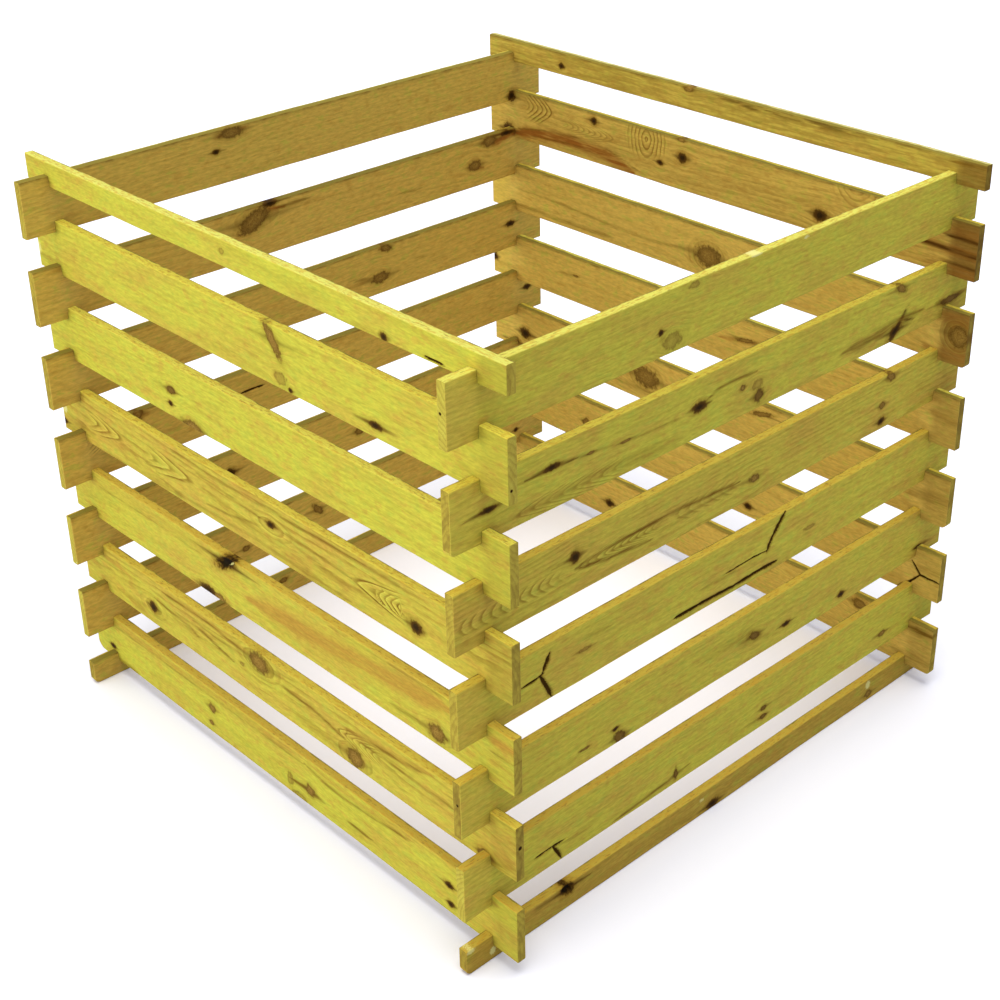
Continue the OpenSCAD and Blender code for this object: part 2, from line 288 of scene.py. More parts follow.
# Coloured streaks: tint, half width, strength, points along and up the board
STREAKS = {
    "front_top_board": [("brown", 2, 0.4, [(230, 5), (290, 5)])],
    "front_board_6": [
        ("brown", 12, 0.3, [(-495, 20), (-455, 12)]), ("brown", 2, 0.6, [(225, 17), (315, 17)]),
    ],
    "front_board_5": [
        ("brown", 3, 0.4, [(-225, 42), (-160, 42)]), ("brown", 6, 0.5, [(-160, 6), (-100, 3)]),
    ],
    "front_board_4": [
        ("brown", 2.6, 0.55, [(-200, 77), (-80, 71), (60, 76)]),
        ("brown", 2.4, 0.8, [(50, 73), (150, 75), (300, 76)]),
        ("brown", 2.0, 0.6, [(-140, 62), (-60, 57), (12, 52)]),
        ("brown", 2.0, 0.6, [(-125, 20), (-60, 26), (14, 40)]),
        ("brown", 2.0, 0.5, [(60, 50), (140, 48), (205, 43)]),
        ("brown", 2.0, 0.4, [(60, 42), (130, 36), (195, 28)]),
        ("brown", 2.6, 0.4, [(-200, 8), (0, 12), (200, 6)]),
    ],
    "front_board_3": [
        ("orange", 14, 0.85, [(-40, 36), (120, 45), (250, 56), (400, 68)]),
        ("orange", 9, 0.25, [(-460, 70), (-250, 70), (-120, 74)]),
        ("brown", 1.6, 0.4, [(-430, 61), (-280, 62), (-140, 59)]),
        ("brown", 3, 0.7, [(268, 18), (345, 18)]),
        ("brown", 1.6, 0.5, [(150, 79), (380, 81)]),
        ("orange", 20, 0.9, [(464, 66), (500, 66)]),
        ("brown", 1.6, 0.8, [(456, 48), (500, 47)]),
    ],
    "front_board_2": [
        ("orange", 6, 0.6, [(166, 56), (200, 62), (290, 72), (350, 80)]),
        ("brown", 2.8, 0.75, [(168, 44), (170, 57), (200, 60), (290, 68), (335, 75)]),
        ("brown", 2.2, 0.7, [(190, 50), (240, 52), (390, 48)]),
        ("brown", 2.6, 0.8, [(25, 53), (100, 50), (165, 37)]),
        ("brown", 2.4, 0.8, [(-300, 52), (-255, 46), (-205, 43), (-180, 34)]),
        ("brown", 2.4, 0.8, [(-190, 54), (-150, 46), (-95, 35)]),
        ("orange", 6, 0.5, [(-275, 76), (-150, 77), (-50, 70)]),
        ("brown", 2.4, 0.8, [(-275, 73), (-150, 74), (-55, 66)]),
        ("brown", 2.0, 0.6, [(-195, 60), (-130, 57), (-55, 60)]),
        ("orange", 4, 0.7, [(-440, 64), (-390, 63), (-370, 62)]),
        ("brown", 3, 0.6, [(-84, 42), (-66, 46)]),
        ("brown", 2, 0.4, [(0, 70), (60, 78)]),
    ],
    "front_board_1": [
        ("orange", 6, 0.55, [(-440, 76), (-250, 75), (-100, 77), (40, 76)]),
        ("brown", 1.8, 0.5, [(-440, 68), (-200, 69), (60, 70)]),
        ("brown", 2.4, 0.75, [(60, 72), (110, 63), (160, 61), (230, 67), (300, 75)]),
        ("orange", 5, 0.5, [(70, 78), (180, 72), (290, 80)]),
        ("brown", 4, 0.6, [(-455, 4), (-380, 3)]),
        ("brown", 2.4, 0.85, [(150, 24), (210, 23)]),
        ("brown", 3, 0.9, [(20, 25), (55, 27), (105, 25)]),
        ("brown", 2.4, 0.5, [(24, 36), (24, 16)]),
    ],
    "right_board_6": [("brown", 4, 0.5, [(-160, 26), (-148, 18)])],
    "right_board_5": [
        ("brown", 8, 0.75, [(205, 19), (290, 22), (345, 26), (390, 28)]),
        ("dark", 4, 0.95, [(352, 46), (340, 30), (316, 2)]),
        ("dark", 3, 0.8, [(338, 28), (368, 20)]),
        ("brown", 7, 0.7, [(420, 28), (450, 21), (495, 28)]),
        ("dark", 3, 0.6, [(428, 30), (452, 20), (488, 30)]),
        ("brown", 2.2, 0.8, [(-75, 47), (-50, 56), (-20, 57), (25, 54)]),
        ("dark", 2.0, 0.8, [(-386, 54), (-343, 56), (-302, 53)]),
        ("dark", 1.8, 0.7, [(-482, 38), (-443, 40), (-420, 43)]),
        ("dark", 2.4, 0.6, [(-100, 48), (-85, 44), (-62, 42)]),
        ("brown", 6, 0.35, [(-400, 14), (-250, 17), (-120, 12)]),
        ("brown", 1.6, 0.4, [(-400, 54), (-300, 53), (-200, 43), (-120, 40)]),
    ],
    "right_board_4": [
        ("brown", 2.4, 1.0, [(-306, 36), (-240, 42), (-120, 43), (-60, 40), (0, 36)]),
        ("brown", 2.6, 1.0, [(-306, 35), (-250, 27), (-165, 19)]),
        ("brown", 1.6, 0.5, [(-250, 34), (-150, 32)]),
        ("brown", 2, 0.6, [(-345, 52), (-295, 53)]),
        ("brown", 1.8, 0.5, [(-120, 30), (20, 32)]),
    ],
    "right_board_3": [
        ("brown", 3, 0.35, [(-300, 61), (-240, 58)]), ("brown", 2, 0.5, [(-310, 45), (-268, 44)]),
        ("brown", 3, 0.35, [(-70, 33), (0, 33)]),
    ],
    "right_board_2": [
        ("brown", 8, 0.5, [(-225, 14), (-205, 2)]), ("brown", 16, 0.35, [(-10, 52), (40, 42), (80, 24)]),
        ("brown", 9, 0.2, [(-80, 52), (40, 50)]), ("brown", 3, 0.6, [(430, 19), (480, 15)]),
    ],
    "right_board_1": [
        ("brown", 2.4, 0.8, [(-230, 5), (-160, 10), (-107, 14), (-80, 18)]),
        ("brown", 2.4, 0.6, [(-108, 34), (-106, 8)]),
        ("brown", 2.2, 0.6, [(42, 18), (90, 18)]),
        ("brown", 2.4, 0.4, [(-335, 26), (-270, 22)]),
        ("brown", 2.4, 0.5, [(340, 28), (385, 26)]),
    ],
    "right_foot_board": [
        ("brown", 60, 0.28, [(-900, 14), (900, 14)]), ("dark", 2.4, 0.8, [(-385, 34), (-275, 31)]),
    ],
    "back_top_board": [
        # A wide brown streak over most of this board is painted shade, darkening it as the shade inside the
        # bin does
        ("brown", 60, 0.54, [(-900, 18), (650, 18)]),
        ("dark", 2.2, 0.7, [(25, 32), (64, 33)]), ("dark", 2.8, 0.8, [(66, 31), (104, 29)]),
        ("dark", 2.2, 0.7, [(112, 33), (150, 30), (186, 31)]),
        ("dark", 2.4, 0.8, [(190, 34), (266, 33)]), ("brown", 2.2, 0.8, [(205, 28), (305, 31)]),
        ("brown", 2.2, 0.7, [(304, 33), (380, 34)]), ("brown", 4.5, 0.9, [(440, 31), (520, 31)]),
        ("brown", 1.6, 0.4, [(-420, 34), (-100, 35)]),
    ],
    "back_board_6": [
        # A wide brown streak over most of this board is painted shade, darkening it as the shade inside the
        # bin does
        ("brown", 90, 0.32, [(-900, 40), (700, 40)]),
        ("red", 10, 1.0, [(-450, 8), (-380, 19), (-300, 24), (-220, 20), (-155, 3)]),
        ("brown", 1.4, 0.9, [(-440, 16), (-370, 28), (-290, 33), (-215, 29), (-140, 8)]),
        ("brown", 1.4, 0.8, [(-400, 12), (-300, 19), (-210, 13)]),
        ("brown", 2.0, 0.5, [(-330, 57), (-260, 51), (-200, 44)]),
        ("brown", 1.8, 0.4, [(-320, 50), (-250, 45), (-180, 40)]),
        ("red", 9, 0.5, [(430, 66), (540, 64)]), ("dark", 2.6, 1.0, [(440, 59), (520, 57)]),
        ("red", 8, 0.6, [(390, 40), (540, 36)]), ("dark", 3.2, 1.0, [(390, 40), (520, 36)]),
        ("red", 10, 0.5, [(420, 10), (540, 8)]), ("dark", 2.4, 0.8, [(440, 20), (520, 17)]),
    ],
    "back_board_5": [
        ("brown", 3, 0.6, [(-460, 13), (-330, 10), (-200, 12)]),
        ("brown", 2.2, 0.45, [(-440, 42), (-330, 40), (-250, 35), (-120, 31), (-20, 36)]),
        ("red", 12, 0.4, [(430, 70), (560, 70)]), ("red", 11, 0.4, [(430, 14), (560, 14)]),
    ],
    "back_board_4": [
        ("red", 4, 0.7, [(45, 40), (110, 50), (150, 54)]), ("brown", 3, 0.4, [(-340, 44), (-280, 52)]),
        ("brown", 18, 0.3, [(455, 50), (500, 44)]),
    ],
    "back_board_3": [
        ("brown", 22, 0.5, [(430, 40), (500, 44)]), ("brown", 4, 0.4, [(-300, 20), (0, 18)]),
    ],
    "back_board_2": [("brown", 20, 0.3, [(455, 45), (500, 50)])],
    "back_board_1": [
        ("brown", 12, 1.0, [(452, 70), (500, 72)]), ("brown", 10, 0.4, [(430, 20), (500, 18)]),
    ],
    "left_board_6": [("red", 5, 0.7, [(-170, 74), (-118, 78)])],
    "left_board_5": [
        ("brown", 3, 0.7, [(-75, 71), (-10, 72)]), ("red", 6, 0.9, [(-140, 54), (-90, 74), (-60, 70)]),
        ("red", 6, 0.9, [(362, 74), (400, 68), (430, 78), (520, 56)]),
        ("dark", 2.2, 0.8, [(366, 80), (425, 81), (520, 60)]),
        ("red", 5, 0.7, [(330, 38), (365, 30)]), ("brown", 2, 0.4, [(170, 30), (220, 28)]),
    ],
    "left_board_4": [
        ("brown", 3, 0.6, [(60, 40), (110, 32)]), ("red", 4, 0.4, [(20, 26), (100, 30)]),
        ("brown", 3, 0.4, [(205, 42), (230, 40)]), ("red", 5, 0.6, [(125, 80), (152, 74)]),
    ],
    "left_board_3": [("red", 8, 0.9, [(-380, 80), (-345, 74)]), ("brown", 3, 0.5, [(50, 48), (70, 47)])],
    "left_foot_board": [("brown", 60, 0.1, [(-900, 20), (900, 20)])],
}

# Small pale places where fresh wood shows: along, up, half length, half height, tilt in degrees
CHIPS = {
    "front_board_3": [(-75, 75, 12, 1.7, 33)],
    "right_board_6": [(110, 80, 7, 3, 0), (12, 83, 14, 2, 0)],
    "right_foot_board": [(-49, 27, 5, 6, 0), (343, 30, 7, 9, 0), (-455, 14, 6, 8, 0), (-492, 37, 9, 4, 0)],
    "front_board_6": [(-498, 30, 6, 12, 0)],
    "front_board_4": [(-494, 38, 8, 10, 0)],
}

# Grain figure: kind, along, up, reach along, reach up, ring spacing, slope, strength. A vee has its
# tip at that place and points right or left; an eye has its middle there
FIGURES = {
    "front_board_4": [
        ("right", -145, 43, 130, 22, 44, 3.4, 0.8), ("right", -330, 42, 100, 20, 30, 3.0, 0.7),
        ("left", 205, 44, 115, 26, 36, 3.4, 0.9), ("left", 256, 44, 54, 17, 12, 1.2, 1.0),
        ("eye", 33, 48, 60, 22, 8, 2.6, 0.35),
    ],
    "front_board_2": [
        ("eye", -29, 66, 66, 30, 8, 2.0, 0.35), ("left", 150, 46, 100, 20, 14, 2.2, 0.6),
        ("eye", 185, 17, 56, 30, 9, 1.7, 0.3), ("eye", -305, 32, 50, 24, 8, 2.1, 0.25),
    ],
    "right_board_4": [
        ("left", -497, 35, 190, 13, 16, 1.1, 0.5), ("left", -300, 35, 160, 17, 14, 4.0, 0.5),
        ("left", -130, 36, 150, 16, 22, 2.0, 0.35),
    ],
    "right_board_5": [("left", -400, 14, 200, 16, 22, 4.0, 0.4)],
    "back_board_6": [
        ("right", -345, 64, 72, 30, 11, 0.9, 0.9), ("eye", -128, 66, 54, 40, 13, 0.6, 0.7),
        ("eye", 290, 88, 52, 38, 9, 1.2, 0.5), ("right", -200, 50, 130, 20, 13, 3.0, 0.4),
    ],
    "back_board_5": [("eye", 13, 37, 60, 36, 8, 1.3, 0.35), ("eye", 484, 46, 40, 34, 7, 1.0, 0.35)],
    "back_board_3": [("eye", -117, 45, 60, 34, 8, 1.5, 0.3)],
    "left_board_5": [("eye", -112, 66, 70, 26, 8, 2.2, 0.2)],
    "left_board_3": [("right", -400, 60, 60, 24, 10, 1.2, 0.6)],
}
# How round the tip of a vee is, in millimetres, and how its sides flare. It sets in between these
# shares of its ring spacing, and fades out from these shares of its own reach and of any figure's
VEE_TIP = 4.0
VEE_FLARE = 1.15
VEE_START = (-0.45, -0.2)
VEE_WHOLE = 0.7
FIGURE_WHOLE = 0.6
# How strongly the growth rings show where there is no figure
PLAIN_RINGS = {"front_board_4": 0.50, "front_board_2": 0.40, "right_board_4": 0.30, "back_board_6": 0.28}
PLAIN_RING_SHARE = 0.18
# Ranges of a board's growth rings, in millimetres: how far behind the seen face their middle lies
# and how far up the board, lean along the board, depth and place of their bow, and their spacing
RING_RANGES = ((40, 80), (-30, 110), (-0.02, 0.02), (-10, 10), (-200, 200), (5.5, 8.0))
# Each board takes its grain from another place in the same noise, as far as this from the middle
GRAIN_SHIFT = 4000

# Small dark spots in the end grain: board, end, from the middle of the thickness, up, radius
END_SPOTS = {
    ("right_board_6", -1): (-2, 44, 2.0),
    ("front_board_6", 1): (-2, 18, 2.0),
    ("front_board_2", 1): (1, 50, 3.0),
    ("right_board_2", -1): (1, 50, 2.0),
}
NO_SPOT = (0.0, -100.0, 1.0)

# Edge of a board: radius of the eased long edges and of the sawn ends, and where grid lines follow them
LONG_EASE = 1.3
END_EASE = 0.6
LONG_EASE_LINES = (0.0, 0.25, 0.7, 1.4, 2.4)
END_EASE_LINES = (0.0, 0.2, 0.7, 1.5, 3.0, 5.5, 9.0, 13.0)
# Furthest and least distance of the other grid lines, cells across a board's thickness, and from
# what angle in degrees an edge is shaded sharp
ALONG_STEP = 7.0
UP_STEP = 2.4
FIGURE_STEP = 3.4
KNOT_STEP = 2.2
LEAST_STEP = 1.2
ACROSS_CELLS = 4
SHARP_FROM_ANGLE = 50
# Closer grid lines run this far past a notch's wall and over so many radii of a knot, and a split's
# are apart by a share of its half width. Along the board they are closer only at a steep split
NOTCH_MARGIN = 3
KNOT_MARGIN = 1.5
SPLIT_STEP_SHARE = 0.7
STEEP_SPLIT = 5
# Each kind of random draw has its own start, added to that of the board
KNOT_SEED, RING_SEED, GRAIN_SEED, SPLIT_SEED = 11, 23, 31, 47

# How uneven the sawn wood is: wander of its edges, of how far they are eased and of its faces, each
# with the length over which it changes. The wander of an edge reaches into the face by a share of
# the board's height. All is even at a notch, and over the length of the fade beside it less uneven
EDGE_WANDER, EDGE_WAVE = 0.22, 240
EASE_WANDER, EASE_WAVE = 0.18, 200
FACE_WANDER, FACE_WAVE = 0.6, 700
EDGE_WANDER_REACH = 0.35
CALM_NEAR_NOTCH = 22.0
CALM_FADE = 25.0
# A wandering line is made of waves of these shares of its length, and their sum is divided by this
WAVE_SHARES = (0.45, 0.7, 1.0, 1.6, 2.3)
WAVES_TOTAL = 3
# Knots and splits get shallower over this distance from the edges of a face
RELIEF_FADE = 4
# The colour of a top edge, partly painted highlight, ends this far down a face, fading out before, and
# on an inner face a dark line of painted shade runs along it
TOP_EDGE_END = 1.08
TOP_EDGE_FADE = 0.9
ARRIS_SHADE_AT = 1.4
ARRIS_SHADE_WIDTH = 1.2
# Between these distances from its middle a board takes on the tone of its stub beyond the crossing
STUB_FROM = 449.0
STUB_FULL = 463.0
# How strongly the wood darkens brown round a joint, and how far round it
JOINT_DARKENING = 0.34
JOINT_DARKENING_REACH = 9.0
# Wood fields that the materials read by the names that they have here
KEPT_FIELDS = (
    "knot", "knot_dark", "tail", "split", "chip", "figure_rings", "figure", "top_edge", "arris",
)


def linear(red, green, blue):
    """A colour written as 0 to 255 screen values, as the shader wants it."""
    def one(value):
        share = value / 255
        return share / 12.92 if share <= 0.04045 else ((share + 0.055) / 1.055) ** 2.4
    return (one(red), one(green), one(blue), 1.0)


FRESH_WOOD = linear(208, 201, 66)
OCHRE_WOOD = linear(204, 172, 66)
ORANGE_WOOD = linear(204, 154, 62)
GREEN_WOOD = linear(182, 196, 68)
# Painted shade: the inner faces get a more orange-brown tint than the outer ones, as shade and bounced
# light inside the bin make them look
INSIDE_SHADE_WOOD = linear(224, 188, 82)
STUB_WOOD = linear(118, 86, 36)
STUB_LIGHT = linear(222, 190, 78)
LATE_WOOD = linear(146, 108, 30)
FIGURE_LINE = linear(114, 76, 14)
FIGURE_LIGHT = linear(226, 216, 84)
ORANGE_STAIN = linear(190, 145, 54)
RED_STAIN = linear(162, 96, 32)
BROWN_STAIN = linear(122, 88, 22)
DARK_STAIN = linear(86, 54, 8)
# Tints of the streaks: colour, and how much of it is left where the streak is broken up
STREAK_TINTS = {
    "orange": (ORANGE_STAIN, 0.75), "red": (RED_STAIN, 0.6), "brown": (BROWN_STAIN, 0.45),
    "dark": (DARK_STAIN, 0.6),
}
EDGE_BROWN = linear(140, 112, 48)
EDGE_ORANGE = linear(205, 178, 64)
EDGE_YELLOW = linear(221, 207, 72)
# Painted highlight: pale and bleached top edges, as light from above makes them look
EDGE_PALE_HIGHLIGHT = linear(211, 208, 93)
EDGE_BLEACHED_HIGHLIGHT = linear(206, 201, 132)
# Painted shade: dull olive on the inner part of a top edge
EDGE_DULL_SHADE = linear(136, 121, 47)
EDGE_GOLD = linear(196, 150, 48)
# Colour of a top edge at each value of its tone, the pale and bleached ones painted highlight
EDGE_COLOURS = (
    (-1.0, EDGE_BROWN), (0.0, EDGE_ORANGE), (0.5, EDGE_YELLOW), (1.0, EDGE_PALE_HIGHLIGHT), (2.0, EDGE_BLEACHED_HIGHLIGHT),
)
# Painted shade: a dark line along the inner arris just under the top edge
ARRIS_SHADE_DARK = linear(104, 84, 32)
KNOT_TAN = linear(168, 134, 56)
KNOT_BROWN = linear(112, 78, 24)
KNOT_BLACK = linear(54, 34, 7)
KNOT_HOLE = linear(18, 12, 4)
KNOT_RIM = linear(80, 52, 10)
SPLIT_COLOUR = linear(66, 44, 4)
CHIP_WOOD = linear(228, 220, 130)
END_WOOD = linear(188, 166, 60)
END_PALE = linear(214, 204, 78)
END_DARK = linear(106, 84, 34)
END_LATE_WOOD = linear(136, 106, 42)


class Board:
    """Where one board lies, in millimetres, read from the frame."""

    def __init__(self, name):
        low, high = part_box(name)
        size = (high - low) / MM
        self.name = name
        self.along = 0 if size.x > size.y else 1
        self.across = 1 - self.along
        self.middle = (low + high) / 2 / MM
        self.length = size[self.along]
        self.thickness = size[self.across]
        self.height = size.z
        self.bottom = low.z / MM
        self.top = high.z / MM
        self.outward = 1 if self.middle[self.across] > 0 else -1
        self.side = name.split("_")[0]
        self.seen_side = self.outward if self.side in ("front", "right") else -self.outward
        self.seed = sum(ord(letter) * (place + 3) for place, letter in enumerate(name))
        self.body = frame["nodes"][name]["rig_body"]


def notches_of(board, boards):
    """The board's notches: middle along it, half width, lower end and upper end."""
    found = []
    for other in boards:
        overlap = min(board.top, other.top) - max(board.bottom, other.bottom)
        if other.along == board.along or overlap < 1:
            continue
        low = 0 if other.bottom < board.bottom else board.height - overlap / 2
        half_width = other.thickness / 2 + NOTCH_PLAY
        found.append((other.middle[board.along], half_width, low, low + overlap / 2))
    return found


def worn_radius(board, end):
    """Radius of the rounded lower corner at one end, as the frame's own mesh has it."""
    points = np.array([v.co for v in frame["nodes"][board.name].data.vertices]) / MM
    at_end = np.abs(points[:, board.along] - end * board.length / 2) < 0.01
    return points[at_end, 2].min() - board.bottom


def grid_lines(fixed, wished):
    """Every fixed line, and each wished line that keeps its distance from those already taken."""
    lines = sorted(set(round(float(line), 3) for line in fixed))
    low, high = lines[0], lines[-1]
    for line in sorted(wished):
        if low < line < high and min(abs(line - other) for other in lines) >= LEAST_STEP:
            lines.append(round(float(line), 3))
    return np.array(sorted(lines))


def steps(low, high, step):
    """Evenly spaced values from low to high, no further apart than step."""
    return np.linspace(low, high, max(2, math.ceil((high - low) / step) + 1))


def split_steps(a, b, half_width):
    """Grid lines for a stretch of a split that runs from a to b."""
    step = max(LEAST_STEP, half_width * SPLIT_STEP_SHARE)
    return steps(min(a, b) - 2 * half_width, max(a, b) + 2 * half_width, step)


def board_grid(board, notches):
    """Grid lines along and up a board, closer together at its edges, notches, knots and splits."""
    half = board.length / 2
    along_fixed = [side * (half - inset) for side in (-1, 1) for inset in END_EASE_LINES]
    up_fixed = [*LONG_EASE_LINES] + [board.height - inset for inset in LONG_EASE_LINES]
    along_wished = [*steps(-half, half, ALONG_STEP)]
    up_wished = [*steps(0, board.height, UP_STEP)]
    for middle, half_width, low, high in notches:
        along_fixed += [middle - half_width, middle + half_width]
        beside = half_width + NOTCH_MARGIN
        along_wished += [middle - beside, middle + beside]
        up_fixed += [edge for edge in (low, high) if 0 < edge < board.height]
    for along, up, long_half, high_half, tilt, _ in KNOTS.get(board.name, []):
        lean = abs(math.sin(math.radians(tilt)))
        reach_along = KNOT_MARGIN * (long_half * (1 - lean) + high_half * lean)
        reach_up = KNOT_MARGIN * (high_half + (long_half - high_half) * lean)
        along_wished += [*steps(along - reach_along, along + reach_along, KNOT_STEP)]
        up_wished += [*steps(up - reach_up, up + reach_up, KNOT_STEP)]
    for kind, along, _, reach, *_ in FIGURES.get(board.name, []):
        low_reach = 0 if kind == "left" else reach
        far_reach = 0 if kind == "right" else reach
        along_wished += [*steps(along - low_reach, along + far_reach, FIGURE_STEP)]
    for points, half_width in SPLITS.get(board.name, []):
        for (a, c), (b, d) in zip(points, points[1:]):
            if abs(d - c) > STEEP_SPLIT:
                along_wished += [*split_steps(a, b, half_width)]
            up_wished += [*split_steps(c, d, half_width)]
    return grid_lines(along_fixed, along_wished), grid_lines(up_fixed, up_wished)


def wander(values, wavelength, random):
    """A smooth line that wanders between about -1 and 1."""
    total = np.zeros_like(values, dtype=float)
    for share in WAVE_SHARES:
        phase = random.uniform(0, 2 * math.pi)
        total += np.sin(2 * math.pi * values / (wavelength * share) + phase)
    return total / WAVES_TOTAL


def rise(values, low, high):
    """Goes smoothly from 0 at low to 1 at high."""
    share = np.clip((values - low) / (high - low), 0, 1)
    return share * share * (3 - 2 * share)


def fallen_away(distance, radius):
    """How far a rounded edge lies behind the face, at a distance from that edge."""
    inside = np.clip(radius - distance, 0, radius)
    return radius - np.sqrt(np.maximum(radius ** 2 - inside ** 2, 0))


def all_over(along, up, value=0.0):
    """The same value for each place on the board."""
    return np.full(np.broadcast(along, up).shape, value)


def distance_to_line(along, up, points):
    """Distance from each place on the board to a line through points."""
    nearest = all_over(along, up, math.inf)
    for (a, c), (b, d) in zip(points, points[1:]):
        reach = (b - a) ** 2 + (d - c) ** 2
        share = np.clip(((along - a) * (b - a) + (up - c) * (d - c)) / reach, 0, 1)
        nearest = np.minimum(nearest, np.hypot(along - a - share * (b - a), up - c - share * (d - c)))
    return nearest


def narrowing(along, up, points, end_width, taper):
    """Width of a line near its two ends, as a share of its width elsewhere."""
    from_end = np.minimum(*[np.hypot(along - a, up - b) for a, b in (points[0], points[-1])])
    return end_width + (1 - end_width) * rise(from_end, 0, taper)


def ellipse_distance(du, dz, half_length, half_height, tilt):
    """Two ways across a tilted ellipse, in its own half sizes."""
    turn = math.radians(tilt)
    long_way = (du * math.cos(turn) + dz * math.sin(turn)) / half_length
    high_way = (dz * math.cos(turn) - du * math.sin(turn)) / half_height
    return long_way, high_way


def knot_fields(board, along, up, side):
    """What the knots do to a face: distance in their own radii, darkness, tails, relief, bent height."""
    nearest = all_over(along, up, FAR_OFF)
    darkness, tails, relief = [all_over(along, up) for _ in range(3)]
    bent = all_over(along, up) + up
    seen = side == board.seen_side
    random = np.random.default_rng(board.seed + KNOT_SEED)
    for middle, height, long_half, high_half, tilt, kind in KNOTS.get(board.name, []):
        shift = random.uniform(-HIDDEN_KNOT_SHIFT, HIDDEN_KNOT_SHIFT)
        low_reach, high_reach = random.uniform(*TAIL_REACH_SHARES, 2)
        scale = 1.0 if seen else HIDDEN_KNOT_SIZE
        du, dz = along - middle - (0 if seen else shift), up - height
        long_way, high_way = ellipse_distance(du, dz, long_half * scale, high_half * scale, tilt)
        k = np.hypot(long_way, high_way)
        tone, stands = KNOT_KINDS[kind]
        darkness = np.where(k < nearest, tone, darkness)
        nearest = np.minimum(nearest, k)
        if stands > 0:
            relief += stands * np.exp(-RELIEF_FALL * k ** 2)
        elif seen:
            relief += stands * np.clip((1.0 - k) / HOLE_WALL, 0, 1)
        if tone > TAIL_FROM_TONE:
            tail = TAIL_REACH * long_half * np.where(du < 0, low_reach, high_reach)
            narrow = np.clip(1 - np.abs(du) / tail, 0, 1)
            breadth = TAIL_BREADTH * high_half * narrow + 0.01
            tails = np.maximum(tails, tone * narrow ** 0.5 * np.exp(-(dz / breadth) ** 2))
        radius = math.sqrt(high_half * min(long_half, 2 * high_half))
        spread = np.maximum((du / BEND_STRETCH) ** 2 + dz ** 2, radius ** 2)
        bent -= dz * radius ** 2 / spread * np.exp(-np.abs(du) / (BEND_REACH * radius))
    return {"knot": nearest, "knot_dark": darkness, "tail": tails, "relief": relief, "bent": bent}


def figure_fields(board, along, up):
    """Rings of the local grain figures of a board, and how strongly each place shows them."""
    rings, strength = all_over(along, up), all_over(along, up)
    for kind, middle, height, reach, high_reach, spacing, slope, share in FIGURES.get(board.name, []):
        du, dz = along - middle, up - height
        if kind == "eye":
            out = np.hypot(du / slope, dz)
            mask = 1 - rise(np.hypot(du / reach, dz / high_reach), FIGURE_WHOLE, 1.0)
        else:
            behind = -du if kind == "right" else du
            out = behind - slope * (np.sqrt(dz ** 2 + VEE_TIP ** 2) - VEE_TIP) ** VEE_FLARE
            mask = rise(out, *[start * spacing for start in VEE_START])
            mask = mask * (1 - rise(behind, VEE_WHOLE * reach, reach))
            mask = mask * (1 - rise(np.abs(dz), FIGURE_WHOLE * high_reach, high_reach))
        stronger = share * mask > strength
        rings = np.where(stronger, out / spacing, rings)
        strength = np.maximum(strength, share * mask)
    return {"figure_rings": rings, "figure": strength}


def plain_rings(board, along, across, bent):
    """How many growth rings out from the pith each place lies."""
    random = np.random.default_rng(board.seed + RING_SEED)
    depth, pith, lean, crook, crook_place, spacing = [random.uniform(*ends) for ends in RING_RANGES]
    behind = depth - across * board.seen_side + board.thickness / 2
    radius = np.sqrt(behind ** 2 + (bent - pith) ** 2)
    bowed = crook * ((along - crook_place) / (board.length / 2)) ** 2
    return (radius + lean * along + bowed) / spacing


def calm(along, notches):
    """Falls to 0 where a crossing board sits, so that nothing uneven reaches into its notch."""
    share = np.ones_like(along, dtype=float)
    for middle in {notch[0] for notch in notches}:
        share *= np.clip((np.abs(along - middle) - CALM_NEAR_NOTCH) / CALM_FADE, 0, 1)
    return share


def split_field(board, along, up, side):
    """Distance to the nearest split, in its half widths, which change along it."""
    nearest = all_over(along, up, FAR_FROM_SPLIT)
    if side != board.seen_side:
        return nearest
    random = np.random.default_rng(board.seed + SPLIT_SEED)
    for points, half_width in SPLITS.get(board.name, []):
        narrow = narrowing(along, up, points, SPLIT_END_WIDTH, SPLIT_TAPER)
        ragged = 1 + SPLIT_WANDER * wander(along + 0.7 * up, SPLIT_WAVE, random)
        near = distance_to_line(along, up, points) / (half_width * ragged * narrow)
        nearest = np.minimum(nearest, near)
    return nearest


def stain_fields(board, along, up, notches):
    """Streaks of each tint, and among the brown a darkening round each joint."""
    stains = {tint: all_over(along, up) for tint in STREAK_TINTS}
    for tint, half_width, strength, points in STREAKS.get(board.name, []):
        taper = STREAK_TAPER + STREAK_TAPER_WIDTHS * half_width
        narrow = narrowing(along, up, points, STREAK_END_WIDTH, taper)
        near = distance_to_line(along, up, points) / (half_width * narrow)
        flat_topped = np.clip(STREAK_CREST * np.exp(-near ** 2), 0, 1)
        stains[tint] = np.maximum(stains[tint], strength * flat_topped)
    for middle, half_width, low, high in notches:
        beside = np.maximum(np.abs(along - middle) - half_width, 0)
        beyond = np.maximum(np.maximum(low - up, up - high), 0)
        darkening = JOINT_DARKENING * np.exp(-(beside ** 2 + beyond ** 2) / JOINT_DARKENING_REACH ** 2)
        stains["brown"] = np.maximum(stains["brown"], darkening)
    return stains


def chip_field(board, along, up):
    """Distance to the nearest chip, in its half sizes."""
    nearest = all_over(along, up, FAR_OFF)
    for middle, height, half_length, half_height, tilt in CHIPS.get(board.name, []):
        ways = ellipse_distance(along - middle, up - height, half_length, half_height, tilt)
        nearest = np.minimum(nearest, np.hypot(*ways))
    return nearest


